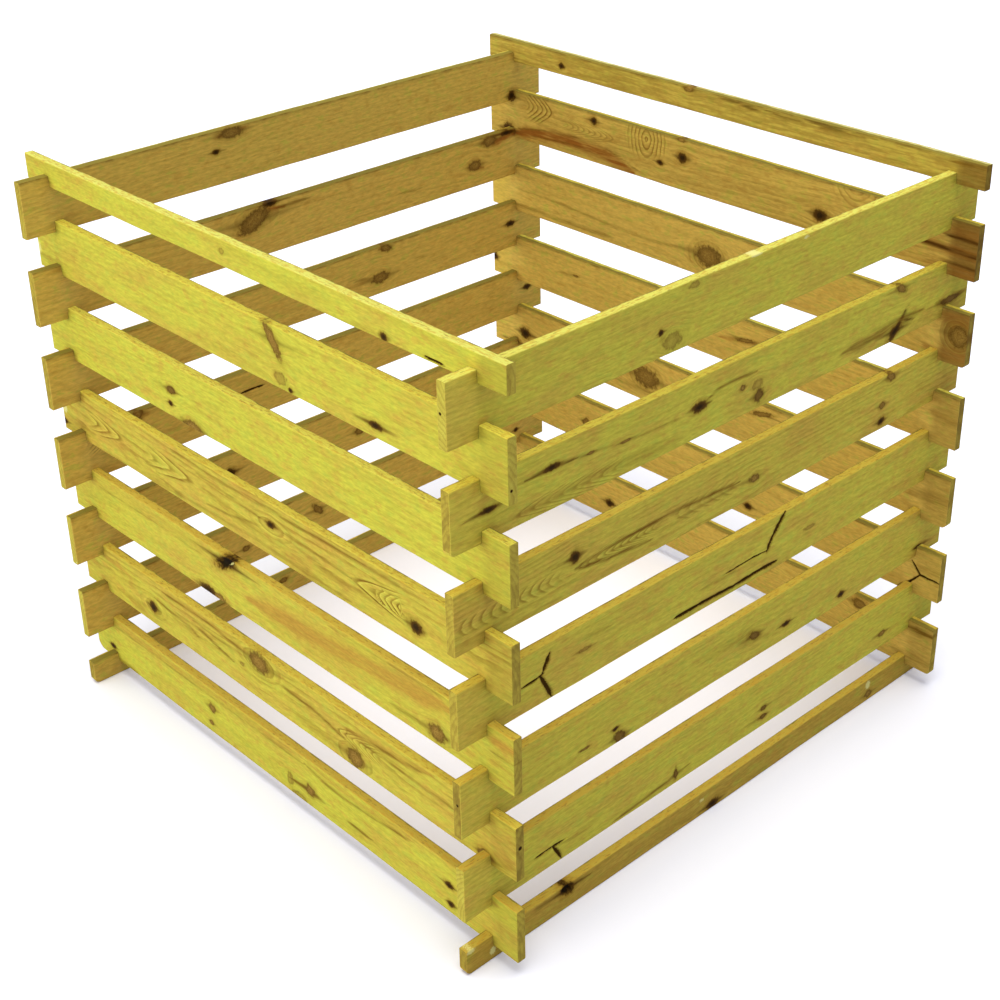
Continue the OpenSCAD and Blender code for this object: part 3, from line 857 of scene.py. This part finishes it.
def board_surface(board, notches, along, up):
    """Places and wood fields of both faces of a board: dict of arrays by side, line along, line up."""
    random = np.random.default_rng(board.seed)
    shape = (len(along), len(up))
    along, up = along[:, None], up[None, :]
    quiet = calm(along, notches)
    ends = np.minimum(along + board.length / 2, board.length / 2 - along)
    lower = EDGE_WANDER * wander(along, EDGE_WAVE, random) * quiet
    upper = EDGE_WANDER * wander(along, EDGE_WAVE, random) * quiet
    for end in (-1, 1):
        worn = worn_radius(board, end)
        if worn > END_EASE:
            lower = lower + fallen_away(np.abs(end * board.length / 2 - along), worn)
    fade = EDGE_WANDER_REACH * board.height
    near_low = np.clip(1 - up / fade, 0, 1)
    near_high = np.clip(1 - (board.height - up) / fade, 0, 1)
    moved_up = up + lower * near_low ** 1.5 + upper * near_high ** 1.5
    bow = FACE_WANDER * wander(along, FACE_WAVE, random) * quiet
    sides = []
    for side in (-1, 1):
        field = knot_fields(board, along, up, side)
        field.update(figure_fields(board, along, up))
        field["split"] = split_field(board, along, up, side)
        field.update(stain_fields(board, along, up, notches))
        field["chip"] = chip_field(board, along, up)
        relief = field.pop("relief") - SPLIT_DEPTH * np.clip(1 - field["split"], 0, 1)
        long_ease = LONG_EASE * (1 + EASE_WANDER * wander(along, EASE_WAVE, random))
        behind = fallen_away(up, long_ease) + fallen_away(board.height - up, long_ease)
        behind = behind + fallen_away(ends, END_EASE)
        inner = np.clip(np.minimum(np.minimum(up, board.height - up), ends) / RELIEF_FADE, 0, 1)
        near_top = np.broadcast_to(board.height - up, shape)
        inner_side = 1.0 if side != board.outward else 0.0
        # The top edge band: painted highlight, with painted shade on its inner part
        field["top_edge"] = np.clip((TOP_EDGE_END - near_top) / TOP_EDGE_FADE, 0, 1)
        # Painted shade along the inner arris
        field["arris"] = inner_side * np.exp(-((near_top - ARRIS_SHADE_AT) / ARRIS_SHADE_WIDTH) ** 2)
        field["along"] = np.broadcast_to(along, shape)
        field["across"] = side * (board.thickness / 2 - behind + relief * inner) + bow
        field["up"] = np.broadcast_to(moved_up, shape)
        sides.append(field)
    return {name: np.stack([side[name] for side in sides]) for name in sides[0]}


def standing_cells(notches, along, up):
    """Which grid cells are wood: all but those inside a notch."""
    middle_along = ((along[1:] + along[:-1]) / 2)[:, None]
    middle_up = ((up[1:] + up[:-1]) / 2)[None, :]
    wood = np.ones((len(along) - 1, len(up) - 1), dtype=bool)
    for middle, half_width, low, high in notches:
        wood &= ~((np.abs(middle_along - middle) < half_width) & (middle_up > low) & (middle_up < high))
    return wood


def rim_edges(wood):
    """Grid edges where wood meets air, wood on their left: (from, to, is an end or notch wall)."""
    padded = np.pad(wood, 1)
    rim = []
    for di, dj, start, stop, is_wall in (
        (0, -1, (0, 0), (1, 0), False), (1, 0, (1, 0), (1, 1), True),
        (0, 1, (1, 1), (0, 1), False), (-1, 0, (0, 1), (0, 0), True),
    ):
        beyond = padded[1 + di:1 + di + wood.shape[0], 1 + dj:1 + dj + wood.shape[1]]
        for i, j in np.argwhere(wood & ~beyond):
            rim.append(((i + start[0], j + start[1]), (i + stop[0], j + stop[1]), is_wall))
    return rim


def board_faces(wood, shape):
    """Faces of a board over its grid, which of them are end grain, and where the rim's points go."""
    i, j = np.nonzero(wood)

    def place(side, row, column):
        return (side * shape[0] + row) * shape[1] + column

    corners = [(i, j), (i + 1, j), (i + 1, j + 1), (i, j + 1)]
    far = np.stack([place(1, row, column) for row, column in corners], 1)
    near = np.stack([place(0, row, column) for row, column in corners[::-1]], 1)
    rim = rim_edges(wood)
    rim_points = sorted({point for start, stop, _ in rim for point in (start, stop)})
    first = {point: 2 * shape[0] * shape[1] + n * (ACROSS_CELLS - 1) for n, point in enumerate(rim_points)}

    def across(point, step):
        if step == 0:
            return place(0, *point)
        return place(1, *point) if step == ACROSS_CELLS else first[point] + step - 1

    strips = [
        (across(stop, n + 1), across(start, n + 1), across(start, n), across(stop, n))
        for start, stop, _ in rim for n in range(ACROSS_CELLS)
    ]
    walls = [is_wall for _, _, is_wall in rim for _ in range(ACROSS_CELLS)]
    faces = np.concatenate([far, near, np.array(strips)])
    end_grain = np.concatenate([np.zeros(2 * len(i), dtype=int), np.array(walls, dtype=int)])
    return faces, end_grain, rim_points


def with_rim(field, rim_points):
    """A field's values on both faces, followed by those between the faces at the rim."""
    i, j = np.array(rim_points).T
    shares = np.arange(1, ACROSS_CELLS) / ACROSS_CELLS
    between = field[0, i, j][:, None] * (1 - shares) + field[1, i, j][:, None] * shares
    return np.concatenate([field.reshape(-1), between.reshape(-1)])


def store(mesh, name, values):
    """Keeps a value or a vector for each point of a mesh, for the material to read."""
    values = np.asarray(values, np.float32)
    kind, slot = ("FLOAT", "value") if values.ndim == 1 else ("FLOAT_VECTOR", "vector")
    layer = mesh.attributes.new(name, kind, "POINT")
    layer.data.foreach_set(slot, values.ravel())


def store_tones(mesh, board, field):
    """Keeps the board's own tones: what is the same all over it, and what belongs to one end."""
    ochre, inner_shade_brown, top_edge, low_stub, high_stub, low_end, high_end = TONES[board.name]
    at_low = field["along"] < 0
    ones = np.ones(len(at_low))
    beyond = rise(np.abs(field["along"]), STUB_FROM, STUB_FULL)
    inside = np.clip(-board.outward * field["across"] / (board.thickness / 2), 0, 1)
    store(mesh, "ochre", ones * ochre)
    # The tint of the inner face is painted shade
    store(mesh, "inside", inside * inner_shade_brown)
    store(mesh, "outward", board.outward * field["across"] / (board.thickness / 2))
    store(mesh, "edge_from", ones * (1 - 2 * EDGE_TONE_SHARE[board.side]))
    # Tone of the top edge, pale where it is painted highlight
    store(mesh, "edge_tone", ones * top_edge)
    store(mesh, "stub", beyond * np.where(at_low, low_stub, high_stub))
    store(mesh, "end_tone", np.where(at_low, low_end, high_end))
    low_spot = END_SPOTS.get((board.name, -1), NO_SPOT)
    high_spot = END_SPOTS.get((board.name, 1), NO_SPOT)
    store(mesh, "end_spot", np.where(at_low[:, None], low_spot, high_spot))
    store(mesh, "plain_share", ones * PLAIN_RINGS.get(board.name, PLAIN_RING_SHARE))


def build_board(board, boards, materials):
    """The detailed mesh of one board, standing in for its node of the frame."""
    notches = notches_of(board, boards)
    along, up = board_grid(board, notches)
    surface = board_surface(board, notches, along, up)
    wood = standing_cells(notches, along, up)
    faces, end_grain, rim_points = board_faces(wood, (len(along), len(up)))
    field = {name: with_rim(values, rim_points) for name, values in surface.items()}
    used, faces = np.unique(faces, return_inverse=True)
    faces = faces.reshape(-1, 4)
    field = {name: values[used] for name, values in field.items()}
    places = np.zeros((len(used), 3))
    places[:, board.along] = field["along"] + board.middle[board.along]
    places[:, board.across] = field["across"] + board.middle[board.across]
    places[:, 2] = field["up"] + board.bottom
    if board.along == 0:
        faces = faces[:, ::-1]
    mesh = bpy.data.meshes.new(board.name + "_wood")
    mesh.from_pydata((places * MM).tolist(), [], faces.tolist())
    for material in materials:
        mesh.materials.append(material)
    mesh.polygons.foreach_set("material_index", end_grain.astype(np.int32))
    mesh.polygons.foreach_set("use_smooth", np.ones(len(faces), dtype=bool))
    mesh.set_sharp_from_angle(angle=math.radians(SHARP_FROM_ANGLE))
    shift = np.random.default_rng(board.seed + GRAIN_SEED).uniform(-GRAIN_SHIFT, GRAIN_SHIFT, 3)
    store(mesh, "fibre", np.stack([field["along"], field["across"], field["bent"]], 1) + shift)
    store(mesh, "on_board", np.stack([field["along"], field["across"], field["up"]], 1))
    store(mesh, "rings", plain_rings(board, field["along"], field["across"], field["bent"]))
    for name in (*KEPT_FIELDS, *STREAK_TINTS):
        store(mesh, name, field[name])
    store_tones(mesh, board, field)
    mesh.validate()
    piece = bpy.data.objects.new(board.name + "_wood", mesh)
    bpy.context.scene.collection.objects.link(piece)
    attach(piece, board.body)
    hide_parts(board.name)


class Nodes:
    """Short ways to add and join the nodes of one material.

    What is fed to a node is another node's output, a setting, or the name of a field on the mesh.
    """

    def __init__(self, material):
        material.use_nodes = True
        self.tree = material.node_tree
        self.tree.nodes.clear()

    def add(self, kind, **settings):
        node = self.tree.nodes.new(kind)
        for name, value in settings.items():
            setattr(node, name, value)
        return node

    def feed(self, socket, value):
        if isinstance(value, str):
            value = self.attribute(value)
        if isinstance(value, bpy.types.NodeSocket):
            self.tree.links.new(value, socket)
        elif value is not None:
            socket.default_value = value

    def attribute(self, name, vector=False):
        node = self.add("ShaderNodeAttribute", attribute_name=name)
        return node.outputs["Vector"] if vector else node.outputs["Fac"]

    def math(self, operation, a, b=None, clamp=False):
        node = self.add("ShaderNodeMath", operation=operation, use_clamp=clamp)
        self.feed(node.inputs[0], a)
        self.feed(node.inputs[1], b)
        return node.outputs[0]

    def parts(self, vector):
        node = self.add("ShaderNodeSeparateXYZ")
        self.feed(node.inputs[0], vector)
        return node.outputs

    def seen_ray(self):
        """1 for what the camera sees, straight or in a glossy surface, and 0 for light on things."""
        path = self.add("ShaderNodeLightPath")
        return self.math("MAXIMUM", path.outputs["Is Camera Ray"], path.outputs["Is Glossy Ray"])

    def end(self, kind, shader):
        """Ends the tree in one output."""
        self.feed(self.add(kind).inputs["Surface"], shader.outputs[0])

    def product(self, *values):
        total = values[0]
        for value in values[1:]:
            total = self.math("MULTIPLY", total, value)
        return total

    def noise(self, vector, scale, detail=3.0, roughness=0.55):
        stretched = self.add("ShaderNodeVectorMath", operation="MULTIPLY")
        self.feed(stretched.inputs[0], vector)
        stretched.inputs[1].default_value = scale
        node = self.add("ShaderNodeTexNoise")
        self.feed(node.inputs["Vector"], stretched.outputs[0])
        node.inputs["Scale"].default_value = 1.0
        node.inputs["Detail"].default_value = detail
        node.inputs["Roughness"].default_value = roughness
        return node.outputs["Fac"]

    def ramp(self, value, low, high, from_value=0.0, to_value=1.0, course="SMOOTHSTEP"):
        node = self.add("ShaderNodeMapRange", interpolation_type=course)
        self.feed(node.inputs["Value"], value)
        settings = {"From Min": low, "From Max": high, "To Min": from_value, "To Max": to_value}
        for socket, setting in settings.items():
            node.inputs[socket].default_value = setting
        return node.outputs["Result"]

    def straight(self, value, low, high, from_value=0.0, to_value=1.0):
        return self.ramp(value, low, high, from_value, to_value, course="LINEAR")

    def mix(self, share, a, b):
        node = self.add("ShaderNodeMix", data_type="RGBA")
        self.feed(node.inputs["Factor"], share)
        self.feed(node.inputs["A"], a)
        self.feed(node.inputs["B"], b)
        return node.outputs["Result"]

    def shade(self, colour, share):
        node = self.add("ShaderNodeVectorMath", operation="SCALE")
        self.feed(node.inputs[0], colour)
        self.feed(node.inputs["Scale"], share)
        return node.outputs[0]

    def ring_lines(self, turn, start=0.30):
        """How much of a growth ring's dark late wood shows at a share of its width, from 0 to 1."""
        return self.product(self.ramp(turn, start, 0.86), self.ramp(turn, 0.88, 0.99, 1.0, 0.0))

    def finish(self, colour, roughness, height, strength, distance):
        """Ends the material in one wood shader with a bumped surface."""
        bump = self.add("ShaderNodeBump")
        bump.inputs["Strength"].default_value = strength
        bump.inputs["Distance"].default_value = distance
        self.feed(bump.inputs["Height"], height)
        shader = self.add("ShaderNodeBsdfPrincipled")
        self.feed(shader.inputs["Base Color"], colour)
        self.feed(shader.inputs["Roughness"], roughness)
        self.feed(shader.inputs["Normal"], bump.outputs["Normal"])
        shader.inputs["Specular IOR Level"].default_value = DRY_WOOD_GLOSS
        self.end("ShaderNodeOutputMaterial", shader)


def knot_colour(nodes, base, place, fine):
    """Lays tails, halo, core, rings and rim of the knots over the wood."""
    broad = nodes.noise(place, (0.14, 0.14, 0.14), detail=2)
    small = nodes.noise(place, (0.55, 0.55, 0.55), detail=3)
    uneven = nodes.math("ADD", nodes.straight(broad, 0.25, 0.75, -0.34, 0.34),
                        nodes.straight(small, 0.25, 0.75, -0.06, 0.06))
    knot = nodes.math("ADD", "knot", uneven)
    dark = nodes.attribute("knot_dark")
    tail = nodes.product("tail", nodes.ramp(fine, 0.3, 0.6, 0.6, 1.1))
    base = nodes.mix(nodes.product(nodes.ramp(knot, 0.9, 2.1, 0.6, 0.0), dark), base, LATE_WOOD)
    base = nodes.mix(nodes.math("MINIMUM", tail, 0.95), base, KNOT_RIM)
    core = nodes.mix(nodes.ramp(dark, 0.62, 0.9), KNOT_TAN, KNOT_BLACK)
    rings = nodes.ramp(nodes.math("FRACT", nodes.math("MULTIPLY", knot, 3.2)), 0.1, 0.9, 0.0, 0.55)
    core = nodes.mix(nodes.product(rings, nodes.ramp(dark, 0.7, 0.95, 1.0, 0.3)), core, KNOT_BROWN)
    core = nodes.mix(nodes.ramp(broad, 0.35, 0.65, 0.4, 0.0), core, KNOT_BROWN)
    grey = nodes.product(nodes.ramp(small, 0.5, 0.75, 0.0, 0.35), nodes.ramp(dark, 0.5, 0.85, 1.0, 0.0))
    core = nodes.mix(grey, core, OCHRE_WOOD)
    heart = nodes.product(nodes.ramp(knot, 0.25, 0.75, 0.7, 0.0), nodes.ramp(dark, 0.8, 0.9))
    core = nodes.mix(heart, core, KNOT_HOLE)
    core = nodes.mix(nodes.ramp(dark, 0.94, 0.99), core, KNOT_HOLE)
    filled = nodes.product(nodes.ramp(knot, 0.68, 1.22, 1.0, 0.0), nodes.ramp(dark, 0.2, 0.6, 0.35, 0.97))
    base = nodes.mix(filled, base, core)
    rim = nodes.product(nodes.ramp(knot, 0.45, 0.84), nodes.ramp(knot, 0.86, 1.30, 1.0, 0.0))
    patchy = nodes.ramp(small, 0.40, 0.60, 0.45, 1.0)
    return nodes.mix(nodes.product(rim, patchy, nodes.ramp(dark, 0.2, 0.8, 0.40, 0.78)), base, KNOT_RIM)


def plain_wood(nodes, fibre, mottle):
    """Colour of the wood without its grain: ochre, brown inside as painted shade, blotches, and stubs of
    another tone.
    """
    cloud = nodes.noise(fibre, (0.010, 0.03, 0.03), detail=4)
    cloudy = nodes.ramp(cloud, 0.40, 0.70, -0.1, 0.5)
    ochre = nodes.math("ADD", "ochre", cloudy, clamp=True)
    base = nodes.mix(ochre, FRESH_WOOD, OCHRE_WOOD)
    # Painted shade: the inner faces take a more orange-brown tint
    base = nodes.mix("inside", base, INSIDE_SHADE_WOOD)
    base = nodes.mix(nodes.ramp(mottle, 0.52, 0.68, 0.0, 0.42), base, ORANGE_WOOD)
    base = nodes.mix(nodes.ramp(mottle, 0.32, 0.47, 0.38, 0.0), base, GREEN_WOOD)
    stub = nodes.attribute("stub")
    base = nodes.mix(nodes.math("MAXIMUM", stub, 0.0), base, STUB_WOOD)
    return nodes.mix(nodes.straight(stub, -1.0, 0.0, 1.0, 0.0), base, STUB_LIGHT)


def grain(nodes, base, fibre):
    """Lays the growth rings over the wood, and tells how much of their late wood shows."""
    wobble = nodes.math("ADD", nodes.product(nodes.noise(fibre, (0.006, 0.05, 0.05)), 1.4),
                        nodes.product(nodes.noise(fibre, (0.03, 0.14, 0.14)), 0.5))
    broken = nodes.noise(fibre, (0.012, 0.06, 0.06), detail=2)
    figure = nodes.attribute("figure")
    plain_turn = nodes.math("FRACT", nodes.math("ADD", "rings", wobble))
    plain = nodes.product(nodes.ring_lines(plain_turn), "plain_share",
                          nodes.math("SUBTRACT", 1.0, figure), nodes.ramp(broken, 0.38, 0.60, 0.3, 1.0))
    base = nodes.mix(plain, base, LATE_WOOD)
    figure_rings = nodes.math("ADD", "figure_rings", nodes.product(wobble, 0.6))
    figure_turn = nodes.math("FRACT", figure_rings)
    drawn = nodes.product(nodes.ring_lines(figure_turn, 0.40), figure,
                          nodes.ramp(broken, 0.36, 0.56, 0.55, 1.0))
    light = nodes.product(nodes.ramp(figure_turn, 0.04, 0.34, 0.5, 0.0), figure)
    base = nodes.mix(light, base, FIGURE_LIGHT)
    return nodes.mix(drawn, base, FIGURE_LINE), nodes.math("ADD", plain, drawn)


def stained(nodes, base, fibre):
    """Lays the streaks of each tint over the wood, broken up along the grain."""
    streaky = nodes.noise(fibre, (0.015, 0.20, 0.20), detail=3)
    for tint, (colour, least) in STREAK_TINTS.items():
        share = nodes.product(tint, nodes.ramp(streaky, 0.36, 0.60, least, 1.0))
        base = nodes.mix(share, base, colour)
    return base


def edge_colour_with_painted_light(nodes, fibre, fleck, mottle):
    """Colour of the top edge: its own tone, pale as painted highlight on the upper boards, with specks near
    the outer arris, and dull olive painted shade further in.
    """
    edge, from_tone = EDGE_COLOURS[0][1], EDGE_COLOURS[0][0]
    for to_tone, colour in EDGE_COLOURS[1:]:
        edge = nodes.mix(nodes.straight("edge_tone", from_tone, to_tone), edge, colour)
        from_tone = to_tone
    edge = nodes.mix(nodes.ramp(fleck, 0.46, 0.62, 0.0, 0.55), edge, EDGE_GOLD)
    specks = nodes.noise(fibre, (0.10, 0.45, 0.45), detail=4, roughness=0.6)
    edge = nodes.mix(nodes.ramp(specks, 0.54, 0.68, 0.0, 0.65), edge, EDGE_BROWN)
    own = nodes.math("SUBTRACT", "outward", "edge_from")
    own = nodes.math("ADD", own, nodes.straight(mottle, 0.3, 0.7, -0.22, 0.22))
    # Dull olive painted shade on the inner part of the top edge
    return nodes.mix(nodes.ramp(own, -0.12, 0.12), EDGE_DULL_SHADE, edge)


def opened(nodes, base, place):
    """Lays the splits and chips over the wood, with ragged edges."""
    rough = nodes.noise(place, (0.5, 0.5, 0.5), detail=2)
    ragged = nodes.straight(rough, 0.25, 0.75, -0.22, 0.22)
    split = nodes.math("ADD", "split", ragged)
    base = nodes.mix(nodes.ramp(split, 0.75, 1.9, 0.55, 0.0), base, KNOT_BROWN)
    base = nodes.mix(nodes.ramp(split, 0.55, 1.05, 1.0, 0.0), base, SPLIT_COLOUR)
    chip = nodes.math("ADD", "chip", ragged)
    return nodes.mix(nodes.ramp(chip, 0.6, 1.0, 0.9, 0.0), base, CHIP_WOOD)


def face_material():
    """Long grain: pale and late wood, blotches, stains, knots, splits, and top edges and inner arrises with
    painted highlight and painted shade.
    """
    material = bpy.data.materials.new("softwood_face")
    nodes = Nodes(material)
    fibre = nodes.attribute("fibre", vector=True)
    place = nodes.attribute("on_board", vector=True)
    mottle = nodes.noise(fibre, (0.045, 0.09, 0.09), detail=4, roughness=0.6)
    fleck = nodes.noise(fibre, (0.09, 0.34, 0.34), detail=3)
    fine = nodes.noise(fibre, (0.04, 1.1, 1.1), detail=3, roughness=0.6)
    base, late = grain(nodes, plain_wood(nodes, fibre, mottle), fibre)
    base = stained(nodes, base, fibre)
    shade = nodes.product(nodes.ramp(fleck, 0.28, 0.72, 0.88, 1.08),
                          nodes.ramp(fine, 0.3, 0.7, 0.92, 1.06))
    base = nodes.shade(base, shade)
    # Painted shade: a dark line along the inner arris
    arris = nodes.product("arris", nodes.ramp(mottle, 0.35, 0.65, 0.35, 0.85))
    base = nodes.mix(arris, base, ARRIS_SHADE_DARK)
    # Top edge: painted highlight, and dull olive painted shade on its inner part
    base = nodes.mix("top_edge", base, edge_colour_with_painted_light(nodes, fibre, fleck, mottle))
    base = opened(nodes, knot_colour(nodes, base, place, fine), place)
    height = nodes.math("ADD", nodes.math("ADD", nodes.product(fine, 0.5), nodes.product(fleck, 0.6)),
                        nodes.product(late, -0.4))
    roughness = nodes.ramp(fine, 0.2, 0.8, 0.62, 0.78)
    nodes.finish(base, roughness, height, strength=0.5, distance=0.0005)
    return material


def spot_distance(nodes, place):
    """Distance to the dark spot of a board's end, in that spot's radii."""
    here, spot = [nodes.parts(vector) for vector in (place, nodes.attribute("end_spot", vector=True))]
    off_across = nodes.math("POWER", nodes.math("SUBTRACT", here[1], spot[0]), 2)
    off_up = nodes.math("POWER", nodes.math("SUBTRACT", here[2], spot[1]), 2)
    return nodes.math("DIVIDE", nodes.math("SQRT", nodes.math("ADD", off_across, off_up)), spot[2])


def end_material():
    """Sawn end grain: arcs of growth rings, fine pores, saw marks and a dark spot where a knot ends."""
    material = bpy.data.materials.new("softwood_end")
    nodes = Nodes(material)
    fibre = nodes.attribute("fibre", vector=True)
    place = nodes.attribute("on_board", vector=True)
    wobble = nodes.product(nodes.noise(fibre, (0.006, 0.05, 0.05)), 1.4)
    late = nodes.ring_lines(nodes.math("FRACT", nodes.math("ADD", "rings", wobble)))
    pores = nodes.noise(fibre, (0.8, 0.8, 0.8), detail=3)
    marks = nodes.noise(place, (0.1, 0.12, 1.1), detail=3)
    patches = nodes.noise(fibre, (0.03, 0.10, 0.06), detail=3)
    tone = nodes.math("ADD", "end_tone", nodes.ramp(patches, 0.35, 0.65, -0.22, 0.22))
    base = nodes.mix(nodes.straight(tone, -1.0, 0.0, 1.0, 0.0), END_WOOD, END_PALE)
    base = nodes.mix(nodes.straight(tone, 0.0, 1.0), base, END_DARK)
    base = nodes.mix(nodes.product(late, 0.32), base, END_LATE_WOOD)
    base = nodes.mix(nodes.ramp(pores, 0.5, 0.75, 0.0, 0.35), base, END_LATE_WOOD)
    base = nodes.mix(nodes.product("brown", 0.6), base, BROWN_STAIN)
    base = nodes.mix(nodes.ramp(spot_distance(nodes, place), 0.7, 1.3, 1.0, 0.0), base, KNOT_BLACK)
    base = nodes.mix(nodes.ramp("knot", 0.8, 1.2, 0.8, 0.0), base, KNOT_BROWN)
    height = nodes.math("ADD", pores, marks)
    roughness = nodes.ramp(pores, 0.2, 0.8, 0.7, 0.85)
    nodes.finish(base, roughness, height, strength=0.5, distance=0.0006)
    return material


def floor_material():
    """Pale floor that reads as white to the camera, keeps the shadow, and throws back little light."""
    material = bpy.data.materials.new("floor_white")
    nodes = Nodes(material)
    diffuse = nodes.add("ShaderNodeBsdfDiffuse")
    nodes.feed(diffuse.inputs["Color"], nodes.mix(nodes.seen_ray(), FLOOR_BOUNCE, FLOOR_SEEN))
    nodes.end("ShaderNodeOutputMaterial", diffuse)
    return material


def add_floor():
    """A wide flat floor just under the foot boards."""
    mesh = bpy.data.meshes.new("floor")
    ways = [(-1, -1), (1, -1), (1, 1), (-1, 1)]
    corners = [(x * FLOOR_HALF, y * FLOOR_HALF, FLOOR_HEIGHT) for x, y in ways]
    mesh.from_pydata(corners, [], [(0, 1, 2, 3)])
    mesh.materials.append(floor_material())
    floor = bpy.data.objects.new("floor", mesh)
    bpy.context.scene.collection.objects.link(floor)


def direction(azimuth, elevation):
    """Unit vector from the object towards a place round it. Azimuth 0 is in front, 90 to the right."""
    a, e = math.radians(azimuth), math.radians(elevation)
    return Vector((math.sin(a) * math.cos(e), -math.cos(a) * math.cos(e), math.sin(e)))


def add_sun(name, share, place, spread):
    """A distant soft lamp. A face turned straight to it gets that share of its own colour."""
    lamp = bpy.data.lights.new(name, "SUN")
    lamp.energy = share * math.pi
    lamp.angle = math.radians(spread)
    sun = bpy.data.objects.new(name, lamp)
    bpy.context.scene.collection.objects.link(sun)
    sun.rotation_euler = direction(*place).to_track_quat("Z", "Y").to_euler()


def light_scene():
    """A plain soft studio: a low lamp in front, a soft one overhead, and an even sky."""
    add_sun("front_lamp", FRONT_LIGHT, FRONT_LIGHT_PLACE, FRONT_LIGHT_SPREAD)
    add_sun("overhead_lamp", OVERHEAD_LIGHT, OVERHEAD_LIGHT_PLACE, OVERHEAD_LIGHT_SPREAD)
    world = bpy.data.worlds.new("studio")
    bpy.context.scene.world = world
    nodes = Nodes(world)
    background = nodes.add("ShaderNodeBackground")
    background.inputs["Strength"].default_value = 1.0
    nodes.feed(background.inputs["Color"], nodes.mix(nodes.seen_ray(), SKY_LIGHT, WHITE))
    nodes.end("ShaderNodeOutputWorld", background)


def add_camera():
    """The photograph's own view of the stack."""
    camera = bpy.data.cameras.new("camera")
    camera.lens = CAMERA_LENS
    camera.sensor_width = CAMERA_SENSOR
    camera.shift_x, camera.shift_y = CAMERA_SHIFT
    holder = bpy.data.objects.new("camera", camera)
    bpy.context.scene.collection.objects.link(holder)
    back = direction(CAMERA_AZIMUTH, CAMERA_ELEVATION)
    turn = (-back).to_track_quat("-Z", "Y").to_matrix().to_4x4()
    roll = Matrix.Rotation(math.radians(CAMERA_ROLL), 4, "Z")
    place = Matrix.Translation(Vector(CAMERA_AIM) + back * CAMERA_DISTANCE)
    holder.matrix_world = place @ turn @ roll
    bpy.context.scene.camera = holder


add_camera()
light_scene()
add_floor()
board_materials = (face_material(), end_material())
all_boards = [Board(name) for name in sorted(frame["nodes"])]
for one_board in all_boards:
    build_board(one_board, all_boards, board_materials)
bpy.context.scene.view_settings.view_transform = "Standard"

bpy.context.view_layer.update()
